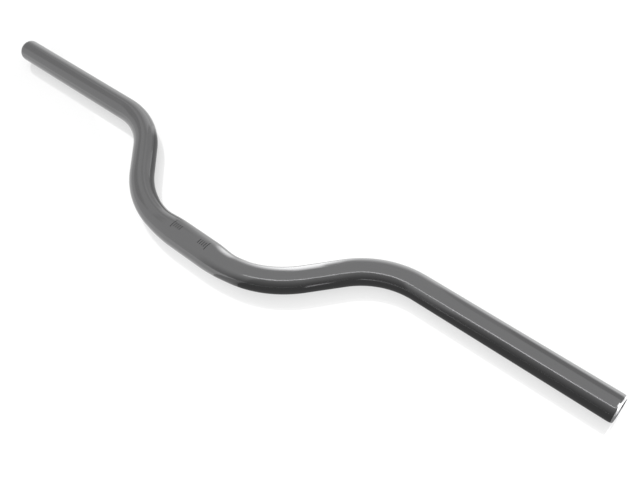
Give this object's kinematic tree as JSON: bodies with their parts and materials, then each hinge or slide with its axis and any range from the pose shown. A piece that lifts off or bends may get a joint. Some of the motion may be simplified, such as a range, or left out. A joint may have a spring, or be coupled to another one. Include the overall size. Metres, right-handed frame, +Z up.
{
  "type": "riser handlebar",
  "caption": "One-piece bent aluminium tube for a bicycle, with a swaged centre for the stem, slanted rising legs and straight ends for grips and levers.",
  "frame": {"origin": "centre of the clamp zone that the stem holds", "axes": "+X along the clamp axis and the width, +Y the way the bar rises as it lies on its side, +Z up from the surface it lies on"},
  "size_m": [0.68, 0.0999, 0.0255],
  "materials": {
    "anodised_tube": "smooth dark grey anodised, half gloss, bare at the cut tips"
  },
  "bodies": {
    "root": {"handlebar": "anodised_tube"}
  },
  "joints": []
}
